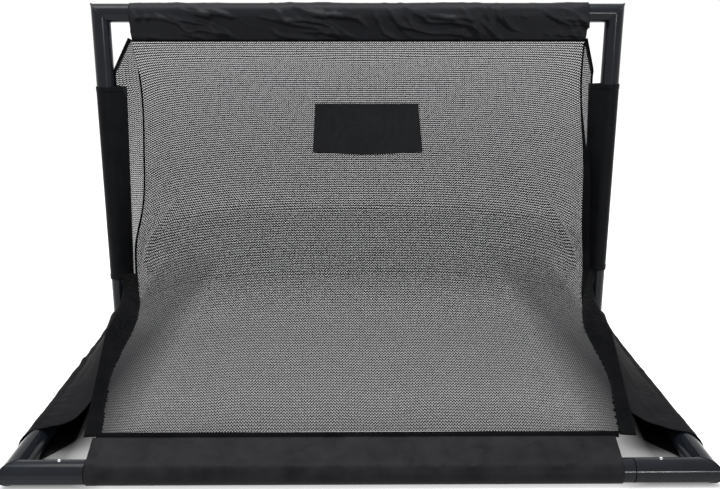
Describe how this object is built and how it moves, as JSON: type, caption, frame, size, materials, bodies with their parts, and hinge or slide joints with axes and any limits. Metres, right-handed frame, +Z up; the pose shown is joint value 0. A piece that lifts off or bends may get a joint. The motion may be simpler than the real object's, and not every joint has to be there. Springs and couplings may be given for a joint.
{
  "type": "golf practice net",
  "caption": "Floor-standing tube frame with snap-button joints and a slack knitted net sewn between cloth sleeves, with a plain target patch, for golf chipping practice",
  "frame": {"origin": "bottom centre of the whole object, on the floor", "axes": "+X to the right along the front bar, +Y from the front bar to the posts, +Z up"},
  "size_m": [1.1285, 0.7088, 0.7161],
  "materials": {
    "tube_paint": "glossy powder coat, dark blue-grey",
    "button_steel": "bright plated steel",
    "clip_steel": "spring steel",
    "sleeve_cloth": "matt woven polyester",
    "net_knit": "matt knitted mesh",
    "binding_tape": "matt woven tape",
    "patch_cloth": "smooth woven cloth"
  },
  "bodies": {
    "frame_and_net": {"front_bar": "tube_paint", "top_bar": "tube_paint", "left_post": "tube_paint", "right_post": "tube_paint", "left_rail": "tube_paint", "right_rail": "tube_paint", "top_sleeve": "sleeve_cloth", "front_sleeve": "sleeve_cloth", "left_post_sleeve": "sleeve_cloth", "right_post_sleeve": "sleeve_cloth", "left_rail_sleeve": "sleeve_cloth", "right_rail_sleeve": "sleeve_cloth", "net_panel": "net_knit", "target_patch": "patch_cloth", "top_seam": "binding_tape", "front_seam": "binding_tape", "left_gusset": "net_knit", "left_rail_binding": "binding_tape", "left_corner_strip": "binding_tape", "right_gusset": "net_knit", "right_rail_binding": "binding_tape", "right_corner_strip": "binding_tape", "front_left_clip": "clip_steel", "front_right_clip": "clip_steel", "top_left_clip": "clip_steel", "top_right_clip": "clip_steel", "rear_left_clip": "clip_steel", "rear_right_clip": "clip_steel"},
    "front_left_snap": {"front_left_button": "button_steel"},
    "front_right_snap": {"front_right_button": "button_steel"},
    "top_left_snap": {"top_left_button": "button_steel"},
    "top_right_snap": {"top_right_button": "button_steel"},
    "rear_left_snap": {"rear_left_button": "button_steel"},
    "rear_right_snap": {"rear_right_button": "button_steel"}
  },
  "joints": [
    {"name": "front_left_press", "type": "slide", "parent": "frame_and_net", "child": "front_left_snap", "axis": [0, 0, -1], "range_m": [0, 0.005], "stiffness_N_per_m": 2500, "springref_m": -0.003, "deforming": ["front_left_clip"]},
    {"name": "front_right_press", "type": "slide", "parent": "frame_and_net", "child": "front_right_snap", "axis": [0, 0, -1], "range_m": [0, 0.005], "stiffness_N_per_m": 2500, "springref_m": -0.003, "deforming": ["front_right_clip"]},
    {"name": "top_left_press", "type": "slide", "parent": "frame_and_net", "child": "top_left_snap", "axis": [0, 0, 1], "range_m": [0, 0.005], "stiffness_N_per_m": 2500, "springref_m": -0.003, "deforming": ["top_left_clip"]},
    {"name": "top_right_press", "type": "slide", "parent": "frame_and_net", "child": "top_right_snap", "axis": [0, 0, 1], "range_m": [0, 0.005], "stiffness_N_per_m": 2500, "springref_m": -0.003, "deforming": ["top_right_clip"]},
    {"name": "rear_left_press", "type": "slide", "parent": "frame_and_net", "child": "rear_left_snap", "axis": [0, -1, 0], "range_m": [0, 0.005], "stiffness_N_per_m": 2500, "springref_m": -0.003, "deforming": ["rear_left_clip"]},
    {"name": "rear_right_press", "type": "slide", "parent": "frame_and_net", "child": "rear_right_snap", "axis": [0, -1, 0], "range_m": [0, 0.005], "stiffness_N_per_m": 2500, "springref_m": -0.003, "deforming": ["rear_right_clip"]}
  ]
}
